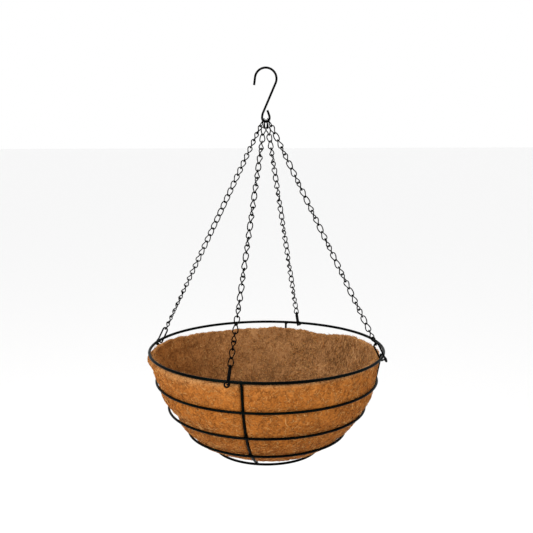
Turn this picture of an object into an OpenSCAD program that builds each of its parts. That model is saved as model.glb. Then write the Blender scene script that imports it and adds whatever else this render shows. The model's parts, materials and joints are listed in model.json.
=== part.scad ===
// Hanging basket: a wire bowl with a coir liner, hung by four twisted-link chains from an S-hook.
// Millimetres, +Z up. The origin is the inner top of the hook's crown, where the hook rests on
// its support. The hook lies in the XZ plane and its crown is open towards -X.

/* [Hook] */
// Diameter of the hook's wire
hook_wire = 3.2; // [2.8:0.1:3.3]
// Radius of the crown, to the middle of the wire
crown_r = 15.5; // [13:0.5:22]
// Length of the straight tip before the crown
tip_len = 11; // [6:1:16]
// Splay of the tip from upright
tip_splay = 7; // [0:1:15]
// Lean of the shank from upright
shank_lean = 23.5; // [20:0.5:30]
// Radius of the soft bend from the shank into the eye
neck_r = 18; // [12:1:24]
// Radius of the eye at the foot of the hook
eye_r = 5.4; // [5.2:0.1:6.5]
// Angle by which the end of the eye leans back to the shank
eye_close = 20; // [10:1:22]

/* [Wire bowl] */
// Radius of the rim hoop
rim_r = 176; // [170:1:182]
// Diameter of the rim hoop's wire
rim_wire = 4.2; // [3.6:0.1:4.4]
// Diameter of the wire of the hoops and ribs
frame_wire = 3.6; // [3:0.1:3.8]
// Radius of the round bowl that the hoops lie on, about the centre of the rim
bowl_r = 172.5; // [168:0.5:176]
// Height of the rim below the origin
rim_drop = 413; // [380:1:460]
// Angle of the upper hoop below the rim plane, seen from the centre of the rim
upper_angle = 15; // [13:0.5:18]
// Angle of the middle hoop
middle_angle = 30.3; // [26:0.1:34]
// Angle of the lower hoop
lower_angle = 46; // [40:0.5:50]
// Angle at which the ribs leave the round bowl and turn in under the base
base_angle = 60; // [56:1:64]
// Radius of the bend under the base
base_bend_r = 25; // [18:1:34]
// Turn of the first rib from the front
rib_turn = -11.2; // [-14:0.2:-8]

/* [Chains] */
// Links in each chain, with the top link
link_count = 32; // [28:1:36]
// Diameter of a link's wire
link_wire = 1.7; // [1.5:0.1:1.8]
// Width of a link, to the middle of its wire
link_width = 7.1; // [6.8:0.1:7.6]
// Twist between the two ends of a link
link_twist = 67; // [50:1:75]
// Twist of the top link, which was opened to thread it on the eye
top_twist = 20; // [0:1:25]
// Turn of the first clip from the front
clip_turn = -17.9; // [-22:0.1:-16]

/* [Clips] */
// Diameter of a clip's wire
clip_wire = 2.4; // [2:0.1:2.5]
// Length of a clip from the middle of the rim wire to its crown
clip_len = 22; // [19:0.5:26]
// Radius of the small eye at the foot of a clip
clip_eye_r = 3.4; // [2.9:0.05:3.6]

/* [Liner] */
// Thickness of the coir
liner_wall = 9; // [6:0.5:12]
// Depth of the liner's edge below the rim at the front
edge_front = 3; // [2:0.5:8]
// Depth of the liner's edge below the rim at the back
edge_back = 13; // [8:0.5:18]

/* [Hidden] */
$fn = 96;

coated = "#15181a";
coir = "#a8672f";

// Free play left where two wires hang in each other
play = 0.15;
// Free play at a clip's crown, which lets the clip rock on the rim
clip_play = 0.4;
// Clearance between the liner and the ribs, and between a clip and the rim
clear = 0.3;
// Bite of a weld, the overlap of two crossing wires
weld = 0.2;

// How much the ball between two steps of a wire is larger than the wire
joint_ball = 0.04;
// Short straight rest between two bends of a wire
rest = 0.6;

// The hook's shank is as long as brings the eye straight below the crown.
shank_len = (crown_r * cos(shank_lean) - neck_r * (1 - cos(shank_lean)) + eye_r) / sin(shank_lean);
crown_z = hook_wire / 2 - crown_r;
eye_z = crown_z - (crown_r + neck_r) * sin(shank_lean) - shank_len * cos(shank_lean) - rest;

// Soft bend and straight end that close the eye
eye_close_r = 10;
eye_end = 7.5;

// Radius of the round bowl that the middle of the rib wires follows
rib_r = bowl_r - frame_wire + weld;
// The ribs run straight above this angle, so that their ends meet the inside of the rim
rib_top_r = rim_r - rim_wire / 2 - frame_wire / 2 + weld;
rib_straight_angle = acos(rib_r / rib_top_r);
rib_straight_len = rib_r * tan(rib_straight_angle);
// Under the base the ribs run level, inwards from level_len to the middle, at the height level_z.
level_len = (rib_r - base_bend_r) * cos(base_angle) - rest * sin(base_angle);
level_z = -(rib_r - base_bend_r) * sin(base_angle) - rest * cos(base_angle) - base_bend_r;
// The cross rib steps over the long rib at the middle of the base.
step_r = 8;
step_angle = 35;
step_rise = 2 * step_r * (1 - cos(step_angle)) + rest * sin(step_angle);
step_run = 2 * step_r * sin(step_angle) + rest * cos(step_angle);
step_top = 12;

// The base ring sits on the outside of the bend, half way round it.
ring_angle = (90 + base_angle) / 2;
ring_reach = base_bend_r + frame_wire - weld;
ring_r = level_len + ring_reach * cos(ring_angle);
ring_z = level_z + base_bend_r - ring_reach * sin(ring_angle);

// The liner is round outside, clear of the ribs, and flat under the base, clear of the raised step.
liner_r = rib_r - frame_wire / 2 - clear;
liner_floor = level_z + step_rise + frame_wire / 2 + clear;
edge_tilt = atan((edge_back - edge_front) / (2 * liner_r));

// Chain k hangs from its own place on the eye: the bights lie side by side along the bottom.
bight_step = 31;
bight_angle = [-0.5, 1.5, 0.5, -1.5] * bight_step;
// Turn that each chain takes from one link to the next
link_turn = [-45, -40, -30, -6];
// Extra play of the outer two top links, which hang at a slant on the wire
slant_play = [0, 0.5, 0, 0.5];
// How far each clip has slipped round the rim
clip_slip = [1.2, 0, 0, 0];

function clip_azimuth(k) = clip_turn + clip_slip[k - 1] + 90 * (k - 1);
function on_rim(a) = [rim_r * sin(a), -rim_r * cos(a), -rim_drop];
function on_eye(b) = [eye_r * sin(b), 0, eye_z - eye_r * cos(b)];
function unit(v) = v / norm(v);
function chain_start(k) = on_eye(bight_angle[k - 1]);
function chain_end(k) = on_rim(clip_azimuth(k));
function chain_way(k) = unit(chain_end(k) - chain_start(k));
function chain_span(k) = norm(chain_end(k) - chain_start(k));
// Distance from the rim back to the middle of the last link's bight
end_back = clip_len - (clip_wire + link_wire) / 2 - clip_play;
function pitch(k) = (chain_span(k) + top_back(k) - end_back - link_wire - play) / link_count;
function link_len(k) = pitch(k) + link_wire + play;
// A chain's own frame has Z along the chain, downwards, and Y level.
function frame_x(d) = [d.x * d.z, d.y * d.z, -(d.x * d.x + d.y * d.y)] / norm([d.x, d.y]);
function frame_y(d) = [-d.y, d.x, 0] / norm([d.x, d.y]);
// Roll of the top link, whose bight stands square to the hook's wire
function eye_tangent(b) = [cos(b), 0, sin(b)];
function bight_side(k) = cross(eye_tangent(bight_angle[k - 1]), chain_way(k));
function top_roll(k) = atan2(bight_side(k) * frame_y(chain_way(k)), bight_side(k) * frame_x(chain_way(k)));
// Distance from the hook's wire back to the middle of the top link's bight, along the chain
function top_back(k) = (hook_wire + link_wire) / 2 / norm(bight_side(k)) + play + slant_play[k - 1];
// The turn per link is trimmed so that the last bight stands square to its clip.
function roll_left(k) = 90 - top_roll(k) - top_twist - (link_count - 1) * link_turn[k - 1];
function trim(k) = (roll_left(k) - 180 * round(roll_left(k) / 180)) / (link_count - 1);
function twist_of(i) = i == 1 ? top_twist : link_twist;
// Roll of the upper bight of link i
function link_roll(k, i) = top_roll(k) + top_twist - twist_of(i) + (i - 1) * (link_turn[k - 1] + trim(k));

// Turn children from +Z to the direction d, with their Y level.
module toward(d) {
    rotate([0, acos(d.z), atan2(d.y, d.x)]) children();
}

// A bent wire: each step is [length] for a straight run, or [radius, angle] for a bend towards the
// wire's own +X side. A negative angle bends the other way. The wire starts at the origin along +Z.
// A ball, a hair larger than the wire, joins each step to the one before.
module bent_wire(d, steps, i = 0) {
    if (i < len(steps)) {
        s = steps[i];
        if (i > 0) sphere(d = d + joint_ball, $fn = 48);
        if (len(s) == 1) {
            cylinder(h = s[0], d = d);
            translate([0, 0, s[0]]) bent_wire(d, steps, i + 1);
        } else {
            side = sign(s[1]);
            turn = abs(s[1]);
            translate([side * s[0], 0, 0]) rotate([90, 0, 0])
                rotate_extrude(angle = turn, start = side > 0 ? 180 - turn : 0)
                    translate([s[0], 0]) circle(d = d);
            translate([side * s[0] * (1 - cos(turn)), 0, s[0] * sin(turn)])
                rotate([0, side * turn, 0]) bent_wire(d, steps, i + 1);
        }
    }
}

// A welded hoop of radius r at height z below the rim
module hoop(r, z, d) {
    color(coated) translate([0, 0, z - rim_drop]) rotate_extrude() translate([r, 0]) circle(d = d);
}

module s_hook() {
    color(coated)
        translate([0, 0, crown_z]) rotate([0, tip_splay, 0]) translate([-crown_r, 0, -tip_len])
            bent_wire(hook_wire, [
                [tip_len], [crown_r, 180 + shank_lean - tip_splay], [shank_len],
                [neck_r, -shank_lean], [rest], [eye_r, -180], [rest], [eye_close_r, -eye_close],
                [eye_end]]);
}

// One twisted link: Z runs down its length, from the middle of the upper bight at the origin.
module twisted_link(length, twist) {
    $fn = 40;
    bend = link_width / 2;
    ends = [[-twist / 2, bend, 180], [twist / 2, length - bend, 0]];
    reach = [2 * bend * sin(twist / 2), length - 2 * bend];
    for (e = ends) {
        rotate([0, 0, e[0]]) translate([0, 0, e[1]]) {
            rotate([90, 0, 0]) rotate_extrude(angle = 180, start = e[2])
                translate([bend, 0]) circle(d = link_wire);
            for (side = [-1, 1]) translate([side * bend, 0, 0]) sphere(d = link_wire + joint_ball);
        }
    }
    for (side = [0, 180])
        rotate([0, 0, side]) translate([bend * cos(twist / 2), -bend * sin(twist / 2), bend])
            rotate([-atan(reach[0] / reach[1]), 0, 0]) cylinder(h = norm(reach), d = link_wire);
}

// Links first to last of chain k, each hung in the one before
module links(k, first, last) {
    color(coated) translate(chain_start(k)) toward(chain_way(k))
        for (i = [first : last])
            translate([0, 0, (i - 1) * pitch(k) - top_back(k)])
                rotate([0, 0, link_roll(k, i) + twist_of(i) / 2]) twisted_link(link_len(k), twist_of(i));
}

// Clip of chain k. In its own frame Z runs on along the chain and the rim wire passes through
// the origin along Y. The inner leg hooks under the rim and the outer leg ends in the eye.
module clip(k) {
    leg = (rim_wire + clip_wire) / 2 + clear;
    foot_bend = 1.8;
    foot_z = leg + 0.3;
    eye_mid = clip_len * 0.2;
    color(coated) translate(chain_end(k)) toward(chain_way(k)) {
        translate([-leg, 0, eye_mid - clip_eye_r]) rotate([180, 0, 0])
            bent_wire(clip_wire, [
                [clip_len - leg + eye_mid - clip_eye_r], [leg, 180],
                [clip_len - leg + foot_z - foot_bend], [foot_bend, 90],
                [leg - foot_bend + leg - clip_wire / 2 - 0.4]]);
        translate([-leg, 0, eye_mid]) rotate([0, 90, 0])
            rotate_extrude() translate([clip_eye_r, 0]) circle(d = clip_wire);
    }
}

// Half of a rib, from the rim down and in under the base, in the XZ plane of the bowl
module rib_half(inner_steps) {
    rotate([0, 180 + rib_straight_angle, 0]) translate([-rib_r, 0, -rib_straight_len])
        bent_wire(frame_wire, concat([
            [rib_straight_len], [rib_r, base_angle - rib_straight_angle], [rest],
            [base_bend_r, 90 - base_angle]], inner_steps));
}

// A whole rib: two halves that meet in a ball under the middle of the base, level with middle_z
module rib(turn, inner_steps, middle_z) {
    color(coated) translate([0, 0, -rim_drop]) {
        for (side = [0, 180]) rotate([0, 0, turn + side - 90]) rib_half(inner_steps);
        translate([0, 0, middle_z]) sphere(d = frame_wire + joint_ball, $fn = 48);
    }
}

module rib_long_way() {
    rib(rib_turn, [[level_len]], level_z);
}

module rib_cross_way() {
    rib(rib_turn + 90,
        [[level_len - step_run - step_top], [step_r, step_angle], [rest], [step_r, -step_angle],
         [step_top]],
        level_z + step_rise);
}

// The liner: a thick bowl with a flat floor and an edge that drops towards the back
module coir_liner() {
    color(coir) translate([0, 0, -rim_drop]) difference() {
        intersection() {
            sphere(r = liner_r);
            translate([0, 0, liner_floor]) cylinder(h = liner_r, r = liner_r + 1);
        }
        intersection() {
            sphere(r = liner_r - liner_wall);
            translate([0, 0, liner_floor + liner_wall]) cylinder(h = liner_r, r = liner_r);
        }
        translate([0, 0, -(edge_front + edge_back) / 2]) rotate([-edge_tilt, 0, 0])
            cylinder(h = 2 * liner_r, r = 2 * liner_r);
    }
}

s_hook();
links(1, 1, 1);  // top_link_1
links(2, 1, 1);  // top_link_2
links(3, 1, 1);  // top_link_3
links(4, 1, 1);  // top_link_4
links(1, 2, link_count);  // chain_1
links(2, 2, link_count);  // chain_2
links(3, 2, link_count);  // chain_3
links(4, 2, link_count);  // chain_4
clip(1);  // clip_1
clip(2);  // clip_2
clip(3);  // clip_3
clip(4);  // clip_4
hoop(rim_r, 0, rim_wire);  // rim_hoop
hoop(bowl_r * cos(upper_angle), -bowl_r * sin(upper_angle), frame_wire);  // upper_hoop
hoop(bowl_r * cos(middle_angle), -bowl_r * sin(middle_angle), frame_wire);  // middle_hoop
hoop(bowl_r * cos(lower_angle), -bowl_r * sin(lower_angle), frame_wire);  // lower_hoop
hoop(ring_r, ring_z, frame_wire);  // base_ring
rib_long_way();
rib_cross_way();
coir_liner();
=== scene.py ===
# %% [markdown]
# # A hanging basket with a coir liner
# The frame, its joints and every wire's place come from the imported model. This script adds what
# the plain solids lack: chain links that really twist, weld nuggets, a felted coir bowl with a
# torn edge and loose fibres, and a procedural finish on every surface.
# All lengths are in metres. The origin is where the hook rests on its support.

# %% Load the frame
import json
import math

import bpy
import numpy as np
from mathutils import Matrix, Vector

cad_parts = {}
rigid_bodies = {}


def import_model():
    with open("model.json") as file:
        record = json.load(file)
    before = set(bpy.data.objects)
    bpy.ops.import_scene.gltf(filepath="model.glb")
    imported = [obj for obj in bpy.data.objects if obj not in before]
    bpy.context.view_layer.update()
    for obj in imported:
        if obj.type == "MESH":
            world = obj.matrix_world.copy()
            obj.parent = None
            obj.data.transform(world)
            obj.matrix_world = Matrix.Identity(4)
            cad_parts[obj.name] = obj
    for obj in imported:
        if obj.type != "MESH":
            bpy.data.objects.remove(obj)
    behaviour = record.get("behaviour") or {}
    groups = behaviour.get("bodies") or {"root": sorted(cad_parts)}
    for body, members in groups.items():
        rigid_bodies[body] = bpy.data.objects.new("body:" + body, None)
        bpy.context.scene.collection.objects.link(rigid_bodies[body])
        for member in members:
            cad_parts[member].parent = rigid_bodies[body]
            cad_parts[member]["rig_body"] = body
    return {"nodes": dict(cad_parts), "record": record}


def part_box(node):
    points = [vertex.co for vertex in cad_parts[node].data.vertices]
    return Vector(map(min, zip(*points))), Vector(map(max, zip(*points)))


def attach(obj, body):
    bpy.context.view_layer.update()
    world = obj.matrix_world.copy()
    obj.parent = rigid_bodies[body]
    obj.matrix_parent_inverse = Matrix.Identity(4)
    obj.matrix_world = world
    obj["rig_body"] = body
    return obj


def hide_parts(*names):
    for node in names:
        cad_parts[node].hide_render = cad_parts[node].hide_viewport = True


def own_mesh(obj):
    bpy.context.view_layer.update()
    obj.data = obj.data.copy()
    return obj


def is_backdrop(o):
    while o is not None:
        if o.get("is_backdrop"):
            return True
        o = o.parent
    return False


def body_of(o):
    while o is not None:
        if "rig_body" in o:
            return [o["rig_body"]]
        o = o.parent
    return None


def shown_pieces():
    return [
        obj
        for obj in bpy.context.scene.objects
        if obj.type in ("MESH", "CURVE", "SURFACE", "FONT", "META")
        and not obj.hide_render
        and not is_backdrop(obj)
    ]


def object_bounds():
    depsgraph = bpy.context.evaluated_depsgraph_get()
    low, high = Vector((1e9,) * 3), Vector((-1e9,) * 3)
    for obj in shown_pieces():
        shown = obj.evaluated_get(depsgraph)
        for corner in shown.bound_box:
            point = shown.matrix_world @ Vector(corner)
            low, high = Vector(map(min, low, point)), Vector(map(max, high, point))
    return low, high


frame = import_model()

cad_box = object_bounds()
NODES = frame["nodes"]
JOINTS = {joint["name"]: joint for joint in frame["record"]["behaviour"]["joints"]}
rim_low, rim_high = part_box("rim_hoop")
RIM_Z = (rim_low[2] + rim_high[2]) / 2
RIM_R = (rim_high[0] - rim_low[0]) / 2 - (rim_high[2] - rim_low[2]) / 2
print("rim radius %.4f m at height %.4f m" % (RIM_R, RIM_Z))

# %% [markdown]
# ## The camera
# The basket hangs a little below eye level, so the view looks down into it by about fifteen
# degrees. A camera could be aimed with a Track To constraint. Here its three axes are worked out
# from two angles and a slight roll, because then the numbers say exactly how it stands.

# %% Camera
CAMERA_BACK = 1.1957
CAMERA_ABOVE_RIM = 0.3216
CAMERA_PITCH = math.radians(9.311)
CAMERA_YAW = math.radians(0.014)
CAMERA_ROLL = math.radians(-0.178)
SENSOR_MM = 36.0
FOCAL_PER_WIDTH = 1.5242


def camera_axes(pitch, yaw, roll):
    """Right, up and back vectors: the gaze turns by yaw, drops by pitch, then the frame rolls."""
    gaze = np.array([math.sin(yaw) * math.cos(pitch), math.cos(yaw) * math.cos(pitch), -math.sin(pitch)])
    level = np.cross(gaze, [0.0, 0.0, 1.0])
    level /= np.linalg.norm(level)
    over = np.cross(level, gaze)
    right = level * math.cos(roll) + over * math.sin(roll)
    up = over * math.cos(roll) - level * math.sin(roll)
    return right, up, -gaze


right, up, back = camera_axes(CAMERA_PITCH, CAMERA_YAW, CAMERA_ROLL)
camera_data = bpy.data.cameras.new("camera")
camera_data.sensor_width = SENSOR_MM
camera_data.lens = SENSOR_MM * FOCAL_PER_WIDTH
camera_data.clip_end = 200.0
camera = bpy.data.objects.new("camera", camera_data)
bpy.context.scene.collection.objects.link(camera)
place = Matrix.Identity(4)
for row in range(3):
    place[row][0], place[row][1], place[row][2] = right[row], up[row], back[row]
place[1][3] = -CAMERA_BACK
place[2][3] = RIM_Z + CAMERA_ABOVE_RIM
camera.matrix_world = place
bpy.context.scene.camera = camera
print("lens %.1f mm" % camera_data.lens)

# %% [markdown]
# ## The studio
# A hanging thing casts no shadow near itself, so the floor lies well below it and is pale and
# plain. Soft light could come from an image of a studio, but a white world with one large warm
# panel at the upper left gives the same even light and can be read in a few numbers.

# %% Floor, world and lights
FLOOR_DROP = 0.62
FLOOR_HALF = 60.0


def plain_material(name, colour, roughness):
    """One colour and one roughness, for what isn't part of the object."""
    material = bpy.data.materials.new(name)
    material.use_nodes = True
    shader = material.node_tree.nodes["Principled BSDF"]
    shader.inputs["Base Color"].default_value = (*colour, 1.0)
    shader.inputs["Roughness"].default_value = roughness
    return material


def studio_floor(height):
    """A square floor at one height."""
    corners = [(-1, -1), (1, -1), (1, 1), (-1, 1)]
    mesh = bpy.data.meshes.new("studio_floor")
    mesh.from_pydata([(x * FLOOR_HALF, y * FLOOR_HALF, height) for x, y in corners], [], [(0, 1, 2, 3)])
    floor = bpy.data.objects.new("studio_floor", mesh)
    mesh.materials.append(plain_material("floor_paint", (0.93, 0.93, 0.93), 0.9))
    bpy.context.scene.collection.objects.link(floor)
    floor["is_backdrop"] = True


def panel_light(name, place_at, aim_at, size, power, colour):
    """A square area light at place_at that faces aim_at."""
    data = bpy.data.lights.new(name, "AREA")
    data.shape = "SQUARE"
    data.size = size
    data.energy = power
    data.color = colour
    light = bpy.data.objects.new(name, data)
    light.location = place_at
    way = Matrix.Translation(aim_at).translation - Matrix.Translation(place_at).translation
    light.rotation_euler = way.to_track_quat("-Z", "Y").to_euler()
    bpy.context.scene.collection.objects.link(light)


studio_floor(float(cad_box[0][2]) - FLOOR_DROP)
world = bpy.data.worlds.new("studio_world")
world.use_nodes = True
world.node_tree.nodes["Background"].inputs["Color"].default_value = (1.0, 1.0, 1.0, 1.0)
world.node_tree.nodes["Background"].inputs["Strength"].default_value = 1.0
bpy.context.scene.world = world
bpy.context.scene.view_settings.view_transform = "Standard"
basket_middle = (0.0, 0.0, RIM_Z - 0.06)
panel_light("key_panel", (-1.1, -1.5, RIM_Z + 1.1), basket_middle, 0.9, 34.0, (1.0, 0.97, 0.93))
panel_light("fill_panel", (1.6, -0.9, RIM_Z + 0.3), basket_middle, 1.2, 7.0, (0.95, 0.97, 1.0))
print("floor at %.3f m" % (float(cad_box[0][2]) - FLOOR_DROP))

# %% [markdown]
# ## Surfaces from grids
# Every new piece is a grid of points worked out at once with numpy. One helper turns such a grid
# into a mesh: it can close a grid round its columns, round its rows, or shut each end with a
# single point. Face corners are listed so that the outside faces out.

# %% Grid helper


def quads(rows, columns, wrap_rows):
    """Corner numbers of the quads of a grid whose columns close on themselves: each quad joins a
    point, the next in its row, and the two above them."""
    last = rows if wrap_rows else rows - 1
    r, c = np.meshgrid(np.arange(last), np.arange(columns), indexing="ij")
    r2, c2 = (r + 1) % rows, (c + 1) % columns
    corners = [r * columns + c, r * columns + c2, r2 * columns + c2, r2 * columns + c]
    return np.stack(corners, -1).reshape(-1, 4)


def ring_surfaces(grids, wrap_rows=False):
    """Points, quads and triangles of many equal grids, an array (count, rows, columns, 3). Rows
    either close on themselves or end in two poles, each the mean of its ring of points."""
    count, rows, columns, _ = grids.shape
    points = grids.reshape(count, rows * columns, 3)
    triangles = np.zeros((0, 3), int)
    size = rows * columns
    if not wrap_rows:
        points = np.concatenate([points, grids[:, :1].mean(2), grids[:, -1:].mean(2)], 1)
        ring = np.arange(columns)
        after = (ring + 1) % columns
        top = size - columns
        first = np.stack([np.full(columns, size), after, ring], -1)
        last = np.stack([np.full(columns, size + 1), top + ring, top + after], -1)
        triangles = np.concatenate([first, last])
        size += 2
    steps = np.arange(count)[:, None, None] * size
    faces = (quads(rows, columns, wrap_rows)[None] + steps).reshape(-1, 4)
    return points.reshape(-1, 3), faces, (triangles[None] + steps).reshape(-1, 3)


def mesh_piece(name, points, faces, triangles):
    """A smooth mesh object from an array of points, one of quads and one of triangles."""
    mesh = bpy.data.meshes.new(name)
    corners = np.concatenate([faces.ravel(), triangles.ravel()]).astype(np.int32)
    sides = np.concatenate([np.full(len(faces), 4), np.full(len(triangles), 3)])
    starts = np.concatenate([[0], np.cumsum(sides)[:-1]]).astype(np.int32)
    mesh.vertices.add(len(points))
    mesh.vertices.foreach_set("co", np.ascontiguousarray(points, np.float32).ravel())
    mesh.loops.add(len(corners))
    mesh.loops.foreach_set("vertex_index", corners)
    mesh.polygons.add(len(sides))
    mesh.polygons.foreach_set("loop_start", starts)
    mesh.polygons.foreach_set("use_smooth", np.ones(len(sides), bool))
    mesh.update(calc_edges=True)
    piece = bpy.data.objects.new(name, mesh)
    bpy.context.scene.collection.objects.link(piece)
    return piece


def unit(v):
    """Each vector divided by its length."""
    return v / np.linalg.norm(v, axis=-1, keepdims=True)


def point_values(piece, name, values):
    """Stores one number per point, which a material reads by its name."""
    layer = piece.data.attributes.new(name, "FLOAT", "POINT")
    layer.data.foreach_set("value", np.ascontiguousarray(values, np.float32))


# %% [markdown]
# ## Coated wire
# The frame, hook, clips and chains are steel wire in a black coating. On the real thing the
# coating is slightly uneven: a fine orange-peel ripple and glossier and duller patches. One colour
# would look like plastic. The ripple is a bump from noise, the patches drive roughness, and a slow
# change of colour mixes a faint cast into the black. On the frame that cast is blue-green: partly
# the coating's own green-black, partly a painted reflection of the sky's teal highlight on the rim.

# %% Coated wire material


def link_nodes(tree, *pairs):
    """Joins output sockets to input sockets, two at a time."""
    for source, target in pairs:
        tree.links.new(source, target)


def new_material(name):
    """An empty node material: its tree, its shader and the Object coordinates."""
    material = bpy.data.materials.new(name)
    material.use_nodes = True
    tree = material.node_tree
    coordinates = tree.nodes.new("ShaderNodeTexCoord").outputs["Object"]
    return material, tree, tree.nodes["Principled BSDF"], coordinates


def noise(tree, coordinates, scale, detail=4.0, roughness=0.55, distortion=0.0):
    """A noise pattern on the given coordinates; scale is in cells per metre."""
    node = tree.nodes.new("ShaderNodeTexNoise")
    node.inputs["Scale"].default_value = scale
    node.inputs["Detail"].default_value = detail
    node.inputs["Roughness"].default_value = roughness
    node.inputs["Distortion"].default_value = distortion
    tree.links.new(coordinates, node.inputs["Vector"])
    return node.outputs["Fac"]


def ramp(tree, value, stops):
    """A colour for each value, from (place, colour) stops."""
    node = tree.nodes.new("ShaderNodeValToRGB")
    elements = node.color_ramp.elements
    while len(elements) < len(stops):
        elements.new(0.5)
    for element, (place_at, colour) in zip(elements, stops):
        element.position = place_at
        element.color = (*colour, 1.0)
    tree.links.new(value, node.inputs["Fac"])
    return node.outputs["Color"]


def remap(tree, value, low, high, to_low, to_high):
    """value moved from the range low..high to the range to_low..to_high."""
    node = tree.nodes.new("ShaderNodeMapRange")
    for name, number in zip(("From Min", "From Max", "To Min", "To Max"), (low, high, to_low, to_high)):
        node.inputs[name].default_value = number
    tree.links.new(value, node.inputs["Value"])
    return node.outputs["Result"]


def bump(tree, shader, height, strength, distance, under=None):
    """Raises the shader's surface by height; under is a bump that lies beneath this one."""
    node = tree.nodes.new("ShaderNodeBump")
    node.inputs["Strength"].default_value = strength
    node.inputs["Distance"].default_value = distance
    tree.links.new(height, node.inputs["Height"])
    if under is not None:
        tree.links.new(under, node.inputs["Normal"])
    tree.links.new(node.outputs["Normal"], shader.inputs["Normal"])
    return node.outputs["Normal"]


def coated_wire(name, black, cast, gloss_low, gloss_high, specular):
    """Black coating: slow noise mixes black with its cast and sets the roughness between two
    values, and fine noise ripples the surface."""
    material, tree, shader, coordinates = new_material(name)
    patches = noise(tree, coordinates, 22.0, detail=3.0)
    colour = ramp(tree, patches, [(0.35, black), (0.72, cast)])
    gloss = remap(tree, noise(tree, coordinates, 140.0), 0.3, 0.7, gloss_low, gloss_high)
    link_nodes(tree, (colour, shader.inputs["Base Color"]), (gloss, shader.inputs["Roughness"]))
    shader.inputs["Specular IOR Level"].default_value = specular
    bump(tree, shader, noise(tree, coordinates, 900.0, detail=2.0), 0.25, 0.0002)
    return material


BLACK = (0.0003, 0.0003, 0.0003)
GREEN_BLACK = (0.0003, 0.0004, 0.0004)
BLUE_BLACK = (0.0003, 0.0003, 0.0004)
# The frame's blue-green cast is partly the coating's own colour and partly a painted reflection: the teal
# sky highlight on the rim.
FRAME_COAT = coated_wire("frame_coating", GREEN_BLACK, (0.0002, 0.0022, 0.0017), 0.24, 0.40, 0.02)
HOOK_COAT = coated_wire("hook_coating", BLUE_BLACK, (0.0008, 0.0009, 0.0011), 0.26, 0.40, 0.02)
CHAIN_COAT = coated_wire("chain_coating", BLACK, (0.0008, 0.0008, 0.0008), 0.30, 0.46, 0.015)
CLIP_COAT = coated_wire("clip_coating", BLACK, (0.0007, 0.0008, 0.0010), 0.26, 0.42, 0.02)
print("four wire finishes")

# %% [markdown]
# ## The finish on the frame's own wires
# The hoops, ribs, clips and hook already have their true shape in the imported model, so they keep
# it and only get their finish.

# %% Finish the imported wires
FRAME_WIRES = ["rim_hoop", "upper_hoop", "middle_hoop", "lower_hoop", "base_ring",
               "rib_long_way", "rib_cross_way"]
CLIPS = ["clip_%d" % k for k in range(1, 5)]


def give(node, material):
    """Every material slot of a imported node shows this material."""
    mesh = NODES[node].data
    mesh.materials.clear()
    mesh.materials.append(material)


for node in FRAME_WIRES:
    give(node, FRAME_COAT)
for node in CLIPS:
    give(node, CLIP_COAT)
give("s_hook", HOOK_COAT)
for node in FRAME_WIRES[:2] + ["s_hook", "clip_1"]:
    print(node, len(NODES[node].data.polygons), "faces")

# %% [markdown]
# ## Twisted chain links
# Each link is a stadium of round wire that is then twisted about its length, so its two ends face
# different ways and the chain lies flatter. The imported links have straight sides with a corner;
# a curve swept with its twist spread over the sides is what the wire really does. A Screw or
# Curve object could be twisted by hand, but one formula places every link of all four chains.

# %% The path of one link
LINK_WIRE = 0.0017
LINK_WIDTH = 0.0071
LINK_TWIST = math.radians(67.0)
TOP_TWIST = math.radians(20.0)
LINK_COUNT = 32
LINK_PLAY = 0.00015
PATH_POINTS = 28
WIRE_SIDES = 6


def stadium(length, width, points):
    """Points round a stadium in the XZ plane, evenly spaced along its run: two straights and two
    half circles. Z runs from 0, at the middle of the upper end's wire, to length."""
    radius = width / 2
    straight = length - width
    whole = 2 * straight + 2 * math.pi * radius
    run = (np.arange(points) + 0.5) / points * whole
    turn = math.pi * radius
    x = np.empty(points)
    z = np.empty(points)
    lower = run < turn
    angle = run / radius
    x[lower], z[lower] = radius * np.cos(angle[lower]), length - radius + radius * np.sin(angle[lower])
    up_side = (run >= turn) & (run < turn + straight)
    x[up_side], z[up_side] = -radius, length - radius - (run[up_side] - turn)
    upper = (run >= turn + straight) & (run < 2 * turn + straight)
    angle = (run - turn - straight) / radius
    x[upper], z[upper] = -radius * np.cos(angle[upper]), radius - radius * np.sin(angle[upper])
    down_side = run >= 2 * turn + straight
    x[down_side], z[down_side] = radius, radius + (run[down_side] - 2 * turn - straight)
    return x, z


def twisted_wire(length, twist):
    """The surface of one link, an array (path, sides, 3): the stadium turns about Z by the link's
    twist, eased in and out between the two bends, and a circle is carried along it whose first
    axis is square to the link's own plane."""
    x, z = stadium(length, LINK_WIDTH, PATH_POINTS)
    ease = np.clip((z - LINK_WIDTH * 0.25) / (length - LINK_WIDTH * 0.5), 0.0, 1.0)
    turn = twist * (ease * ease * (3 - 2 * ease) - 0.5)
    path = np.stack([x * np.cos(turn), x * np.sin(turn), z], -1)
    along = unit(np.roll(path, -1, 0) - np.roll(path, 1, 0))
    square = np.stack([-np.sin(turn), np.cos(turn), np.zeros_like(turn)], -1)
    first = unit(square - along * np.sum(square * along, -1, keepdims=True))
    second = np.cross(along, first)
    around = np.arange(WIRE_SIDES) / WIRE_SIDES * 2 * math.pi
    ring = first[:, None] * np.cos(around)[None, :, None] + second[:, None] * np.sin(around)[None, :, None]
    return path[:, None] + ring * LINK_WIRE / 2


print("one link has", PATH_POINTS * WIRE_SIDES, "faces")

# %% [markdown]
# Every link of a chain has the same shape, so a chain is that shape repeated, each time one pitch
# lower and rolled a little further. On the real basket the roll comes from how the chain was
# wound; here it is one fixed turn per link. An Array modifier with an offset object could repeat
# the link, but it can't give the first link its own twist.

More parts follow.
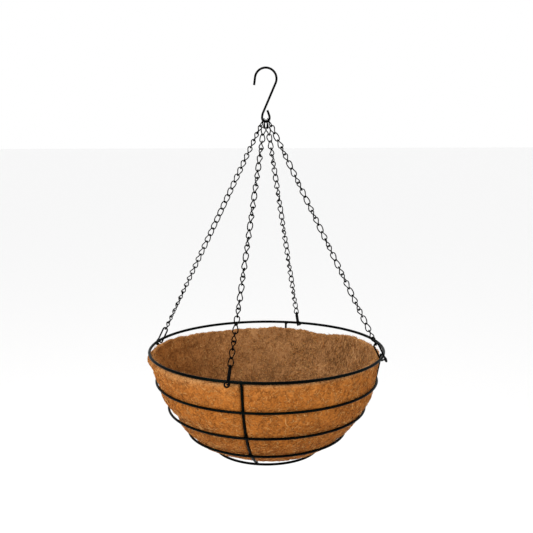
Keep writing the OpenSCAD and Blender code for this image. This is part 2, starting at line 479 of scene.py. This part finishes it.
# %% Hang the links along each chain
HOOK_WIRE = 0.0032
EYE_R = 0.0054
EYE_Z = -0.0695347
BIGHT_STEP = math.radians(31.0)
BIGHT_ORDER = [-0.5, 1.5, 0.5, -1.5]
LINK_TURN = [math.radians(turn) for turn in (-45.0, -40.0, -30.0, -6.0)]
CLIP_LEN = 0.022
CLIP_WIRE = 0.0024
CLIP_PLAY = 0.0004
SLANT_PLAY = [0.0, 0.0005, 0.0, 0.0005]
END_BACK = CLIP_LEN - (CLIP_WIRE + LINK_WIRE) / 2 - CLIP_PLAY


def chain_links(k):
    """The surfaces of all links of chain k, an array (links, path, sides, 3). The chain runs from
    its place on the hook's eye to its clip; each link hangs one pitch below the last and is rolled
    by a fixed turn, trimmed so that the last one stands square to the clip. The top link is nearly
    flat, because it was opened to thread it on the eye."""
    rolled = BIGHT_ORDER[k] * BIGHT_STEP
    start = np.array([EYE_R * math.sin(rolled), 0.0, EYE_Z - EYE_R * math.cos(rolled)])
    end = np.array(JOINTS["chain_%d_twist" % (k + 1)]["pos_m"])
    span = np.linalg.norm(end - start)
    way = (end - start) / span
    level = unit(np.array([-way[1], way[0], 0.0]))
    across = np.cross(level, way)
    side = np.cross([math.cos(rolled), 0.0, math.sin(rolled)], way)
    top_back = (HOOK_WIRE + LINK_WIRE) / 2 / np.linalg.norm(side) + LINK_PLAY + SLANT_PLAY[k]
    pitch = (span + top_back - END_BACK - LINK_WIRE - LINK_PLAY) / LINK_COUNT
    first_roll = math.atan2(side @ level, side @ across)
    left = math.pi / 2 - first_roll - TOP_TWIST - (LINK_COUNT - 1) * LINK_TURN[k]
    trim = (left - math.pi * round(left / math.pi)) / (LINK_COUNT - 1)
    number = np.arange(LINK_COUNT)
    twists = np.where(number == 0, TOP_TWIST, LINK_TWIST)
    roll = first_roll + TOP_TWIST - twists / 2 + number * (LINK_TURN[k] + trim)
    length = pitch + LINK_WIRE + LINK_PLAY
    top, rest = twisted_wire(length, TOP_TWIST), twisted_wire(length, LINK_TWIST)
    link = np.concatenate([top[None], np.repeat(rest[None], LINK_COUNT - 1, 0)])
    x, y, z = link[..., 0], link[..., 1], link[..., 2]
    cosine, sine = np.cos(roll)[:, None, None], np.sin(roll)[:, None, None]
    own_x = x * cosine - y * sine
    own_y = x * sine + y * cosine
    own_z = z + (number * pitch - top_back)[:, None, None]
    return start + own_x[..., None] * across + own_y[..., None] * level + own_z[..., None] * way


def link_piece(name, grids, body, node):
    """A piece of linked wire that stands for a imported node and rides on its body."""
    piece = mesh_piece(name, *ring_surfaces(grids, True))
    piece.data.materials.append(CHAIN_COAT)
    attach(piece, body)
    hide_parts(node)


for k in range(4):
    links = chain_links(k)
    link_piece("top_link_%d_wire" % (k + 1), links[:1], "basket", "top_link_%d" % (k + 1))
    link_piece("chain_%d_wire" % (k + 1), links[1:], "chain_%d" % (k + 1), "chain_%d" % (k + 1))
print("links:", 4 * LINK_COUNT)

# %% [markdown]
# ## Weld nuggets
# Where a rib crosses a hoop the two wires are resistance welded: a little metal squeezes out on
# both sides and the coating fills the corner. A small flattened ball at each crossing gives that
# swelling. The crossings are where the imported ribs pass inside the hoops.

# %% Welds
HOOP_WIRE = 0.0036
RIB_TURN = math.radians(-11.2)
NUGGET_HALF_SIZES = (0.0030, 0.0030, 0.0013)
NUGGET_RINGS = 8
NUGGET_SIDES = 12


def node_ring(node):
    """Radius and height of a packed hoop, from its box."""
    low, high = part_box(node)
    wire = high[2] - low[2]
    return (high[0] - low[0] - wire) / 2, (high[2] + low[2]) / 2


def nuggets(centres, outward, sizes):
    """Closed balls, flattened along the outward direction: latitude rows and longitude columns,
    scaled along the hoop, square to it and outward."""
    lat = (np.arange(NUGGET_RINGS) + 0.5) / NUGGET_RINGS * math.pi
    lon = np.arange(NUGGET_SIDES) / NUGGET_SIDES * 2 * math.pi
    lat, lon = np.meshgrid(lat, lon, indexing="ij")
    ball = np.stack([np.sin(lat) * np.cos(lon), np.sin(lat) * np.sin(lon), -np.cos(lat)], -1)
    along = unit(np.cross([0.0, 0.0, 1.0], outward))
    third = np.cross(outward, along)
    axes = np.stack([along * sizes[0], third * sizes[1], outward * sizes[2]], 1)
    return centres[:, None, None] + np.einsum("rci,nij->nrcj", ball, axes)


def weld_places():
    """Centre and outward direction of every crossing of a rib and a hoop."""
    turns = RIB_TURN + np.arange(4) * math.pi / 2
    flat = np.stack([np.sin(turns), -np.cos(turns), np.zeros(4)], -1)
    centres, ways = [], []
    for node in ("upper_hoop", "middle_hoop", "lower_hoop", "base_ring"):
        radius, height = node_ring(node)
        out = unit(flat * radius + np.array([0.0, 0.0, height - RIM_Z]))
        centres.append(flat * radius + np.array([0.0, 0.0, height]) - out * HOOP_WIRE / 2)
        ways.append(out)
    radius, height = node_ring("rim_hoop")
    centres.append(flat * (radius - 0.0020) + np.array([0.0, 0.0, height - 0.0008]))
    ways.append(flat)
    return np.concatenate(centres), np.concatenate(ways)


weld_centres, weld_ways = weld_places()
weld_balls = nuggets(weld_centres, weld_ways, NUGGET_HALF_SIZES)
welds = mesh_piece("weld_nuggets", *ring_surfaces(weld_balls))
welds.data.materials.append(FRAME_COAT)
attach(welds, "basket")
print("welds:", len(weld_centres))

# %% [markdown]
# ## The coir bowl
# The liner is pressed from coconut fibre and latex: a felt about eight millimetres thick that has
# taken the shape of the cage. It puffs out between the wires, is pinched where they cross it, and
# its torn edge stands lower at the back. It could be modelled by a cloth simulation in the cage,
# but the felt is stiff and was moulded once, so its shape is a formula: a sphere with a
# flat floor, plus puffs, minus grooves, plus lumps of several sizes.

# %% Lumps: smooth random heights
COIR_SEED = 41
TABLE_SIZE = 4096
CELL_PRIMES = (73856093, 19349663, 83492791)


def lumps(points, size, seed):
    """Value noise from -1 to 1: a random number at each corner of a grid of cubes of this size,
    blended smoothly between the eight corners round each point."""
    table = np.random.default_rng(COIR_SEED + seed).uniform(-1.0, 1.0, TABLE_SIZE)
    scaled = points / size
    cell = np.floor(scaled).astype(np.int64)
    part = scaled - cell
    part = part * part * (3 - 2 * part)
    total = np.zeros(points.shape[:-1])
    for step in np.ndindex(2, 2, 2):
        x, y, z = [(cell[..., i] + step[i]) * CELL_PRIMES[i] for i in range(3)]
        weights = [part[..., i] if step[i] else 1 - part[..., i] for i in range(3)]
        total += weights[0] * weights[1] * weights[2] * table[(x ^ y ^ z) % TABLE_SIZE]
    return total


def hill(value, centre, half_width):
    """A smooth hill: one at the centre, falling as a bell to nothing further out."""
    return np.exp(-((value - centre) / half_width) ** 2)


def angle_from(azimuth, centre):
    """Signed angle from a centre azimuth, in degrees, between -180 and 180."""
    return (azimuth - centre + 180.0) % 360.0 - 180.0


trial_points = np.random.default_rng(1).uniform(0, 1, (500, 3))
print("noise of 10 mm cells spans", np.round(np.ptp(lumps(trial_points, 0.01, 0)), 2))

# %% [markdown]
# Three formulas give the bowl its form. The edge depth says how far below the rim the felt was
# torn off at each azimuth. The room is how far from the middle of the rim the felt may reach
# before it would cut a wire. The reach is how far it does go: it puffs out between the wires
# and swells most at the left, just below the rim, where nothing holds it back.

# %% Edge, room and reach of the felt
EDGE_AZIMUTH = [0, 25, 60, 85, 113, 122, 135, 147, 153, 160, 170,
                184, 200, 216, 230, 245, 262, 280, 310, 340, 360]
EDGE_DEPTH_MM = [2.2, 2.2, 2.6, 4, 4.5, 4, 8.5, 13, 12.5, 9.5, 7.5,
                 9, 9.5, 8, 6.5, 3.0, 2.4, 3.0, 4.0, 3.2, 2.2]
HOOP_NODES = ("upper_hoop", "middle_hoop", "lower_hoop", "base_ring")
CLIP_TURN = -17.9
FELT_FLOOR = 0.1452
FELT_WALL = 0.0082
FELT_R = 0.168
CAGE_ROOM = 0.1737
CLIP_ROOM = 0.1705
RIB_ROOM = 0.1669
# Angle below the rim, half width in degrees and height of the puff between two hoops
PUFFS = ((9.0, 5.0, 0.0042), (22.5, 6.0, 0.0034), (38.0, 6.5, 0.0026), (53.0, 5.0, 0.0018))


def hoop_angle(node):
    """Angle of a hoop below the rim, seen from the middle of the rim, in degrees."""
    radius, height = node_ring(node)
    return math.degrees(math.atan2(RIM_Z - height, radius))


hoop_angles = [hoop_angle(node) for node in HOOP_NODES]


def edge_depth(azimuth):
    """Depth of the felt's edge below the rim, in metres, with tears a few millimetres wide."""
    depth = np.interp(azimuth % 360.0, EDGE_AZIMUTH, EDGE_DEPTH_MM) / 1000
    turn = np.radians(azimuth)
    place_on = np.stack([np.sin(turn), -np.cos(turn), 0 * turn], -1)
    tears = lumps(place_on, 0.10, 1) * 0.0008 + lumps(place_on, 0.035, 2) * 0.0006
    return depth + tears + np.maximum(lumps(place_on, 0.06, 3) - 0.45, 0) * 0.0030


def swelling(azimuth, fall):
    """How far the felt bulges out below the rim: most at the left, less at the front left."""
    left = hill(angle_from(azimuth, 272), 0, 24)
    front_left = hill(angle_from(azimuth, 318), 0, 20)
    return 0.0112 * left * hill(fall, 3.4, 2.3) + 0.0060 * front_left * hill(fall, 3.0, 2.0)


def room(azimuth, fall):
    """The farthest the felt may reach from the middle of the rim, at an angle of fall below it:
    inside the rim, each hoop and each rib, clear of the clips, with free space between them."""
    open_room = CAGE_ROOM + 1.2 * swelling(azimuth, fall) * np.clip((fall - 1.0) / 0.8, 0, 1)
    for angle in hoop_angles:
        open_room -= HOOP_WIRE * np.exp(-(angle_from(fall, angle) / 1.2) ** 4)
    off_clip = np.abs((azimuth - CLIP_TURN + 45.0) % 90.0 - 45.0)
    beside_clip = np.exp(-(off_clip / 4.5) ** 4) * np.exp(-(fall / 5.0) ** 4)
    open_room -= beside_clip * np.maximum(open_room - CLIP_ROOM, 0)
    arc = np.abs((azimuth - math.degrees(RIB_TURN) + 45.0) % 90.0 - 45.0) * np.cos(np.radians(fall))
    beside_rib = np.exp(-(arc / 1.25) ** 4)
    return open_room - beside_rib * np.maximum(open_room - RIB_ROOM, 0)


def reach(azimuth, fall):
    """How far the felt goes from the middle of the rim: a plain sphere, a puff between each pair
    of hoops that varies round the bowl, and the swelling below the rim."""
    turn = np.radians(azimuth)
    around = np.stack([np.sin(turn), -np.cos(turn), np.radians(fall) * 1.5], -1)
    slack = 0.55 + 0.45 * lumps(around, 0.7, 4) + 0.5 * hill(angle_from(azimuth, 280), 0, 40)
    slack -= 0.45 * hill(angle_from(azimuth, 85), 0, 35)
    plain = 0.1682 + 0.0014 * lumps(around, 0.45, 5)
    plain += 0.0052 * hill(angle_from(azimuth, 10), 0, 48) * hill(fall, 0.0, 4.5)
    plain += 0.0026 * hill(angle_from(azimuth, 88), 0, 42) * np.clip((fall - 12.0) / 8.0, 0, 1)
    puff = 0 * azimuth
    for centre, width, height in PUFFS:
        puff += height * hill(fall, centre, width)
    inset = 0.0060 * hill(angle_from(azimuth, 275), 0, 30) * hill(fall, 33.5, 4.0)
    return plain + puff * (0.35 + 0.8 * slack) + swelling(azimuth, fall) - inset


print("hoops lie at", np.round(hoop_angles, 1), "degrees below the rim")

# %% [markdown]
# The bowl is one closed grid. Its rows start at the middle of the underside, climb the outer wall,
# turn over the edge and go down the inner wall to the middle of the floor. Every column keeps one
# azimuth. Lumps are added along the line from the middle of the rim, and each point is then drawn
# back into the room it has.

# %% The felt's two walls
COLUMNS = 640
OUTER_ROWS = 78
LIP_ROWS = 8
INNER_ROWS = 54
LIP_RISE = 0.0024
INSIDE_RELIEF = 1.6


def soft_limit(value, limit, blend_width):
    """The smaller of value and limit, rounded where they meet."""
    gap = np.clip(0.5 + (value - limit) / (2 * blend_width), 0, 1)
    return value * (1 - gap) + limit * gap - blend_width * gap * (1 - gap)


def from_rim(azimuth, fall, distance, floor):
    """Points at a distance from the middle of the rim, level with the floor where they would be
    below it."""
    turn, drop = np.radians(azimuth), np.radians(fall)
    out = distance * np.cos(drop)
    depth = soft_limit(distance * np.sin(drop), floor, 0.005)
    return np.stack([out * np.sin(turn), -out * np.cos(turn), RIM_Z - depth], -1)


def rough_height(points):
    """Height of the felt's own relief: tufts of about 20, 9, 5 and 2.5 mm, and pits where the
    finer noise dips far."""
    height = 0.0007 * lumps(points, 0.020, 10) + 0.0006 * lumps(points, 0.009, 11)
    height += 0.00045 * lumps(points, 0.005, 12) + 0.0003 * lumps(points, 0.0027, 13)
    pits = np.maximum(lumps(points, 0.0062, 14) - 0.42, 0)
    return height - 0.0028 * pits


def wall_thickness(azimuth, fall):
    """The felt is pressed thin at its torn edge and has its full thickness 16 mm further down."""
    depth = np.sin(np.radians(fall)) * FELT_R - edge_depth(azimuth)
    return FELT_WALL * (0.55 + 0.45 * np.clip(depth / 0.016, 0, 1))


def felt_wall(azimuth, fall, inward, floor, relief):
    """Points of one wall of the felt, inward metres inside the reach."""
    distance = reach(azimuth, fall) - inward
    base = from_rim(azimuth, fall, distance, floor)
    distance = distance + relief * rough_height(base)
    return from_rim(azimuth, fall, np.minimum(distance, room(azimuth, fall) - inward * 0.6), floor)


azimuths = np.arange(COLUMNS) / COLUMNS * 360.0
edge_fall = np.degrees(np.arcsin((edge_depth(azimuths) + LIP_RISE) / FELT_R))
climb = (1 - np.arange(OUTER_ROWS) / (OUTER_ROWS - 1)) ** 1.15
outer_fall = edge_fall + (89.0 - edge_fall) * climb[:, None]
outer_azimuth = np.broadcast_to(azimuths, outer_fall.shape)
outer_wall = felt_wall(outer_azimuth, outer_fall, 0.0, FELT_FLOOR, 1.0)
sink = (np.arange(INNER_ROWS) / (INNER_ROWS - 1)) ** 1.15
inner_fall = edge_fall + (89.0 - edge_fall) * sink[:, None]
inner_azimuth = np.broadcast_to(azimuths, inner_fall.shape)
inner_depth = wall_thickness(inner_azimuth, inner_fall)
inner_wall = felt_wall(inner_azimuth, inner_fall, inner_depth, FELT_FLOOR - FELT_WALL,
                       INSIDE_RELIEF)
print("outer wall", outer_wall.shape, "inner wall", inner_wall.shape)

# %% [markdown]
# The sheet of felt was torn and not cut, so its edge is ragged. Half an ellipse of rows joins the
# two walls, roughened in its middle. Each point of the bowl also keeps four numbers for the
# material: whether it is inside, how frayed it is, how warm its brown is and how much it is combed.

# %% The torn lip and the whole bowl


def torn_lip(outside, inside):
    """Rows from the outer wall's top to the inner wall's: half an ellipse over the gap between
    them, raised and roughened most in its middle."""
    way = (np.arange(LIP_ROWS) + 1) / (LIP_ROWS + 1) * math.pi
    share = (1 - np.cos(way))[:, None, None] / 2
    rows = outside * (1 - share) + inside * share
    rows[..., 2] += np.sin(way)[:, None] * LIP_RISE
    ragged = 0.0011 * lumps(rows, 0.006, 20) + 0.0009 * lumps(rows, 0.0028, 21)
    rows[..., 2] += np.sin(way)[:, None] * ragged
    return rows


lip = torn_lip(outer_wall[-1], inner_wall[0])
bowl_grid = np.concatenate([outer_wall, lip, inner_wall])
bowl = mesh_piece("coir_bowl", *ring_surfaces(bowl_grid[None]))
row = np.arange(len(bowl_grid))
edge_rows = (row >= OUTER_ROWS - 14) & (row < OUTER_ROWS + LIP_ROWS)
fray_round = 0.25 + hill(angle_from(azimuths, 312), 0, 32) + 0.5 * hill(angle_from(azimuths, 262), 0, 14)
side_of_row = np.clip((row - OUTER_ROWS + 3) / 3, 0, 1)
near_edge = np.exp(-np.maximum(OUTER_ROWS - 2 - row, 0) / 2.5) * edge_rows
frayed = np.minimum(near_edge[:, None] * fray_round, 1.0)
warm_left = np.broadcast_to(hill(angle_from(azimuths, 262), 0, 48), frayed.shape)
combed = np.repeat(hill(angle_from(azimuths, 115), 0, 45)[None], len(row), 0)
combed[-INNER_ROWS:] += hill(angle_from(inner_azimuth, 195), 0, 26) * hill(inner_fall, 50.0, 14.0)
poles = np.array([0.0, 1.0])
point_values(bowl, "inside", np.concatenate([np.repeat(side_of_row, COLUMNS), poles]))
for value_name, values in (("frayed", frayed), ("warm", warm_left), ("combed", combed)):
    point_values(bowl, value_name, np.concatenate([values.ravel(), poles * 0]))
low, high = bowl_grid.min((0, 1)), bowl_grid.max((0, 1))
print("bowl spans", np.round(low, 4), np.round(high, 4), "faces", len(bowl.data.polygons))

# %% [markdown]
# ## The colour of coir
# Coir is many browns at once: straw where fibres lie on top, rust in the body of the felt, nearly
# black in its pits. Outside it is warm and orange; inside it is duller. The colour follows three
# sizes of noise and a stretched noise for lying fibres, and the two sides read their own ramps.
# The shader is rough, with a weak specular.

# %% Coir felt material


def mix_colours(tree, share, first, second):
    """first where share is nothing, second where it is one."""
    node = tree.nodes.new("ShaderNodeMix")
    node.data_type = "RGBA"
    tree.links.new(share, node.inputs["Factor"])
    tree.links.new(first, node.inputs["A"])
    tree.links.new(second, node.inputs["B"])
    return next(socket for socket in node.outputs if socket.type == "RGBA")


def arithmetic(tree, operation, first, second):
    """One Math node; second may be a number."""
    node = tree.nodes.new("ShaderNodeMath")
    node.operation = operation
    tree.links.new(first, node.inputs[0])
    if isinstance(second, (int, float)):
        node.inputs[1].default_value = second
    else:
        tree.links.new(second, node.inputs[1])
    return node.outputs[0]


def read_value(tree, name):
    """The number stored on the mesh's points under this name."""
    node = tree.nodes.new("ShaderNodeAttribute")
    node.attribute_name = name
    return node.outputs["Fac"]


def stretched(tree, coordinates, turn, scale):
    """Coordinates turned and stretched, so that a noise on them makes streaks."""
    node = tree.nodes.new("ShaderNodeMapping")
    node.inputs["Rotation"].default_value = turn
    node.inputs["Scale"].default_value = scale
    tree.links.new(coordinates, node.inputs["Vector"])
    return node.outputs["Vector"]


OUTSIDE_BROWNS = [(0.02, (0.16, 0.048, 0.008)), (0.28, (0.31, 0.100, 0.016)),
                  (0.60, (0.41, 0.145, 0.026)), (0.95, (0.56, 0.250, 0.066))]
INSIDE_BROWNS = [(0.02, (0.10, 0.045, 0.016)), (0.28, (0.24, 0.112, 0.041)),
                 (0.60, (0.36, 0.180, 0.073)), (0.95, (0.50, 0.290, 0.135))]
WARM_BROWNS = [(0.02, (0.11, 0.036, 0.008)), (0.28, (0.25, 0.088, 0.019)),
               (0.60, (0.37, 0.140, 0.034)), (0.95, (0.50, 0.220, 0.068))]
STRAWS = [(0.1, (0.22, 0.085, 0.024)), (0.8, (0.56, 0.29, 0.11))]


def coir_felt():
    """The felt's material: mixed noise picks a brown for each side, streaks lay fibres over it,
    the bowl darkens downwards as painted shade, and the torn edge turns to straw."""
    material, tree, shader, coordinates = new_material("coir_felt")
    clumps = noise(tree, coordinates, 38.0, detail=2.0)
    tufts = noise(tree, coordinates, 420.0, detail=4.0, roughness=0.65)
    one_way = stretched(tree, coordinates, (0.5, 0.3, 0.9), (1.0, 0.2, 0.6))
    lying = noise(tree, one_way, 700.0, detail=3.0, distortion=1.2)
    other_way = stretched(tree, coordinates, (1.1, 0.2, -0.7), (0.2, 1.0, 0.7))
    across = noise(tree, other_way, 640.0, detail=3.0, distortion=1.2)
    downwards = stretched(tree, coordinates, (0.0, 0.15, 0.0), (1.0, 1.0, 0.10))
    upright = noise(tree, downwards, 420.0, detail=3.0)
    fibres = arithmetic(tree, "MAXIMUM", lying, across)
    inside, frayed = read_value(tree, "inside"), read_value(tree, "frayed")
    combed_inside = arithmetic(tree, "MULTIPLY", read_value(tree, "combed"), inside)
    comb_share = arithmetic(tree, "MULTIPLY", combed_inside, 1.8)
    separate = tree.nodes.new("ShaderNodeSeparateXYZ")
    tree.links.new(coordinates, separate.inputs["Vector"])
    # Painted shade: the tone falls from a little above its mean at the rim to darker browns at the bottom
    # of the bowl, outside and on the inner floor alike.
    height = remap(tree, separate.outputs["Z"], RIM_Z - 0.145, RIM_Z, -0.30, 0.03)
    body = arithmetic(tree, "ADD", arithmetic(tree, "MULTIPLY", clumps, 0.20),
                      arithmetic(tree, "MULTIPLY", tufts, 0.35))
    mixed = arithmetic(tree, "ADD", body, arithmetic(tree, "MULTIPLY", fibres, 0.45))
    tone = remap(tree, mixed, 0.40, 0.70, 0.0, 1.0)
    streak = arithmetic(tree, "MULTIPLY", arithmetic(tree, "SUBTRACT", upright, 0.54), comb_share)
    tone = arithmetic(tree, "ADD", arithmetic(tree, "ADD", tone, streak), height)
    dull_or_warm = mix_colours(tree, read_value(tree, "warm"), ramp(tree, tone, INSIDE_BROWNS),
                               ramp(tree, tone, WARM_BROWNS))
    browns = mix_colours(tree, inside, ramp(tree, tone, OUTSIDE_BROWNS), dull_or_warm)
    colour = mix_colours(tree, arithmetic(tree, "MULTIPLY", frayed, 0.6), browns, ramp(tree, tone, STRAWS))
    link_nodes(tree, (colour, shader.inputs["Base Color"]),
               (remap(tree, tufts, 0.3, 0.7, 0.80, 0.98), shader.inputs["Roughness"]))
    shader.inputs["Specular IOR Level"].default_value = 0.04
    coarse = bump(tree, shader, tufts, 0.45, 0.0010)
    bump(tree, shader, fibres, 0.5, 0.0007, under=coarse)
    return material


COIR_FELT = coir_felt()
bowl.data.materials.append(COIR_FELT)
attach(bowl, "liner")
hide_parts("coir_liner")
print("felt colours:", len(OUTSIDE_BROWNS), "browns outside,", len(INSIDE_BROWNS), "inside")

# %% [markdown]
# ## Loose fibres
# Thousands of single hairs stand free of the felt, and they are what makes coir look like coir.
# Blender's hair could grow them, but hair isn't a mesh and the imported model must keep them. So
# each fibre is a thin three-sided tube, bent along an arc on the surface it lies on, and all of
# them are worked out at once.

# %% Fibres as tubes
FIBRE_POINTS = 5
FIBRE_SIDES = 3


def fibre_tubes(paths, thickness):
    """Tubes round many paths, an array (fibres, points, 3). Each ring lies in the plane square to
    its path and shrinks towards both ends."""
    along = unit(np.gradient(paths, axis=1))
    helper = np.where(np.abs(along[..., 2:]) < 0.8, [[0.0, 0.0, 1.0]], [[1.0, 0.0, 0.0]])
    first = unit(np.cross(helper, along))
    second = np.cross(along, first)
    around = np.arange(FIBRE_SIDES) / FIBRE_SIDES * 2 * math.pi
    taper = np.sin(np.linspace(0.18, math.pi - 0.18, paths.shape[1])) ** 0.5
    radius = (thickness[:, None] * taper / 2)[..., None, None]
    ring = first[:, :, None] * np.cos(around)[:, None] + second[:, :, None] * np.sin(around)[:, None]
    return paths[:, :, None] + ring * radius


def fibre_piece(name, paths, thickness, shades):
    """A piece of many fibres in coir, each with its own shade from 0, dark, to 1, pale."""
    tubes = fibre_tubes(paths, thickness)
    piece = mesh_piece(name, *ring_surfaces(tubes))
    point_values(piece, "shade", np.repeat(shades, tubes.shape[1] * FIBRE_SIDES + 2))
    piece.data.materials.append(FIBRE_COIR)
    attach(piece, "liner")
    print(name, len(paths), "fibres,", len(piece.data.polygons), "faces")


def fibre_coir():
    """The fibres' material: each one's shade picks its brown, and noise along it breaks that up."""
    material, tree, shader, coordinates = new_material("coir_fibre")
    broken = arithmetic(tree, "MULTIPLY", noise(tree, coordinates, 300.0, detail=2.0), 0.3)
    tone = arithmetic(tree, "ADD", read_value(tree, "shade"), arithmetic(tree, "SUBTRACT", broken, 0.15))
    colour = ramp(tree, tone, [(0.0, (0.13, 0.038, 0.007)), (0.35, (0.32, 0.105, 0.018)),
                               (0.70, (0.50, 0.205, 0.045)), (1.0, (0.74, 0.43, 0.16))])
    link_nodes(tree, (colour, shader.inputs["Base Color"]),
               (remap(tree, broken, 0.05, 0.25, 0.55, 0.75), shader.inputs["Roughness"]))
    shader.inputs["Specular IOR Level"].default_value = 0.10
    bump(tree, shader, noise(tree, coordinates, 2500.0, detail=1.0), 0.3, 0.0001)
    return material


FIBRE_COIR = fibre_coir()

# %% [markdown]
# Fibres lie on a wall of the felt: a start, a heading along the wall and a curl give an arc in
# azimuth and fall, and a small lift raises the middle of the arc off the surface. The lift is cut
# back to the room between the wires.

# %% Fibres on the two walls


def lying_fibres(count, seed, on_inside, floor, relief, length, lift, lowest_fall):
    """Arcs on one wall. Each starts at a random place, evenly over the wall's area, and turns
    steadily; its lift is a bow in its middle, a random share of the given lift, over a fixed tenth of a
    millimetre off the felt."""
    draw = np.random.default_rng(COIR_SEED + seed)
    azimuth = draw.uniform(0, 360, count)
    edge = np.degrees(np.arcsin(edge_depth(azimuth) / FELT_R))
    share = draw.uniform(0, 1, count)
    lowest = math.sin(math.radians(lowest_fall))
    fall = np.degrees(np.arcsin(np.sin(np.radians(edge)) * (1 - share) + lowest * share))
    heading = draw.uniform(0, 2 * math.pi, count)
    curl = draw.normal(0, 2.4, count)
    lengths = length[0] + (length[1] - length[0]) * draw.beta(1.3, 3.5, count)
    step = np.linspace(0, 1, FIBRE_POINTS)
    bearing = heading[:, None] + curl[:, None] * step
    move = np.degrees(lengths[:, None] / (FIBRE_POINTS - 1) / FELT_R)
    falls = fall[:, None] + np.cumsum(move * np.cos(bearing), 1)
    falls = np.maximum(falls, edge[:, None] + 0.2)
    narrowing = np.cos(np.radians(np.minimum(falls, 75)))
    turns = azimuth[:, None] + np.cumsum(move * np.sin(bearing), 1) / narrowing
    distance = reach(turns, falls) - (wall_thickness(turns, falls) if on_inside else 0)
    base = from_rim(turns, falls, distance, floor)
    bow = np.sin(step * math.pi) * draw.uniform(0.1, 1.0, count)[:, None] * lift
    towards = -1.0 if on_inside else 1.0
    distance = distance + relief * rough_height(base) + towards * (bow + 0.0001)
    distance = np.minimum(distance, room(turns, falls) - 0.0001)
    thickness = draw.uniform(0.00020, 0.00058, count)
    return from_rim(turns, falls, distance, floor), thickness, draw.beta(1.1, 1.0, count)


OUTER = (False, FELT_FLOOR, 1.0)
INNER = (True, FELT_FLOOR - FELT_WALL, INSIDE_RELIEF)
fibre_piece("outer_fibres_short", *lying_fibres(6500, 50, *OUTER, (0.003, 0.010), 0.0008, 68.0))
fibre_piece("outer_fibres_middle", *lying_fibres(6500, 54, *OUTER, (0.005, 0.015), 0.0009, 68.0))
fibre_piece("outer_fibres_curled", *lying_fibres(6500, 55, *OUTER, (0.004, 0.013), 0.0009, 68.0))
fibre_piece("outer_fibres_long", *lying_fibres(700, 51, *OUTER, (0.010, 0.030), 0.0012, 66.0))
fibre_piece("inner_fibres_short", *lying_fibres(6500, 52, *INNER, (0.003, 0.014), 0.0009, 85.0))
fibre_piece("inner_fibres_middle", *lying_fibres(4500, 56, *INNER, (0.005, 0.020), 0.0009, 85.0))
fibre_piece("inner_fibres_long", *lying_fibres(450, 53, *INNER, (0.02, 0.06), 0.0016, 80.0))

# %% [markdown]
# Along the torn edge the fibres stand up and hang over. Each starts on the lip and leaves it
# upwards, outwards or inwards, then bends over under its own weight.

# %% Fringe on the edge


def fringe(count, seed):
    """Fibres from random places across the lip: straight off in a random upward direction, with
    a droop that grows as the square of the way along."""
    draw = np.random.default_rng(COIR_SEED + seed)
    column = draw.integers(0, COLUMNS, count)
    across = draw.integers(0, LIP_ROWS, count)
    start = lip[across, column] + draw.normal(0, 0.0006, (count, 3))
    turn = np.radians(azimuths[column])
    out = np.stack([np.sin(turn), -np.cos(turn), np.zeros(count)], -1)
    round_way = np.stack([np.cos(turn), np.sin(turn), np.zeros(count)], -1)
    way = out * draw.normal(0.0, 0.5, count)[:, None] + round_way * draw.normal(0, 1.0, count)[:, None]
    way = unit(way + np.array([0.0, 0.0, 1.0]) * np.abs(draw.normal(0.15, 0.35, count))[:, None])
    lengths = 0.002 + 0.008 * draw.beta(1.2, 4.5, count)
    step = np.linspace(0, 1, FIBRE_POINTS)[None, :, None]
    side = np.cross(way, out)
    paths = start[:, None] - way[:, None] * 0.001 + way[:, None] * step * lengths[:, None, None]
    paths = paths + side[:, None] * step ** 2 * (draw.normal(0, 0.3, count) * lengths)[:, None, None]
    paths[..., 2] -= (step[..., 0] ** 2) * (lengths * draw.uniform(0.1, 0.6, count))[:, None]
    outward = np.hypot(paths[..., 0], paths[..., 1])
    limit = np.where(paths[..., 2] > RIM_Z - 0.0035, RIM_R - 0.0028, 1.0)
    paths[..., :2] *= np.minimum(1.0, limit / outward)[..., None]
    return paths, draw.uniform(0.00016, 0.0004, count), draw.beta(2.6, 1.5, count)


fibre_piece("edge_fringe", *fringe(3000, 60))

# %% [markdown]
# ## Own meshes for the coir pieces
# The felt swells out under the rim at the left. When the liner is lifted, that swelling has to
# pass the rim wire, and two hands press the springy felt together. Here every coir piece only
# gets a mesh of its own; nothing in this script squeezes it.

# %% Give every coir piece its own mesh
coir_pieces = [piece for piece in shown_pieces() if body_of(piece) == ["liner"]]
for piece in coir_pieces:
    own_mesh(piece)
print(len(coir_pieces), "coir pieces give way")
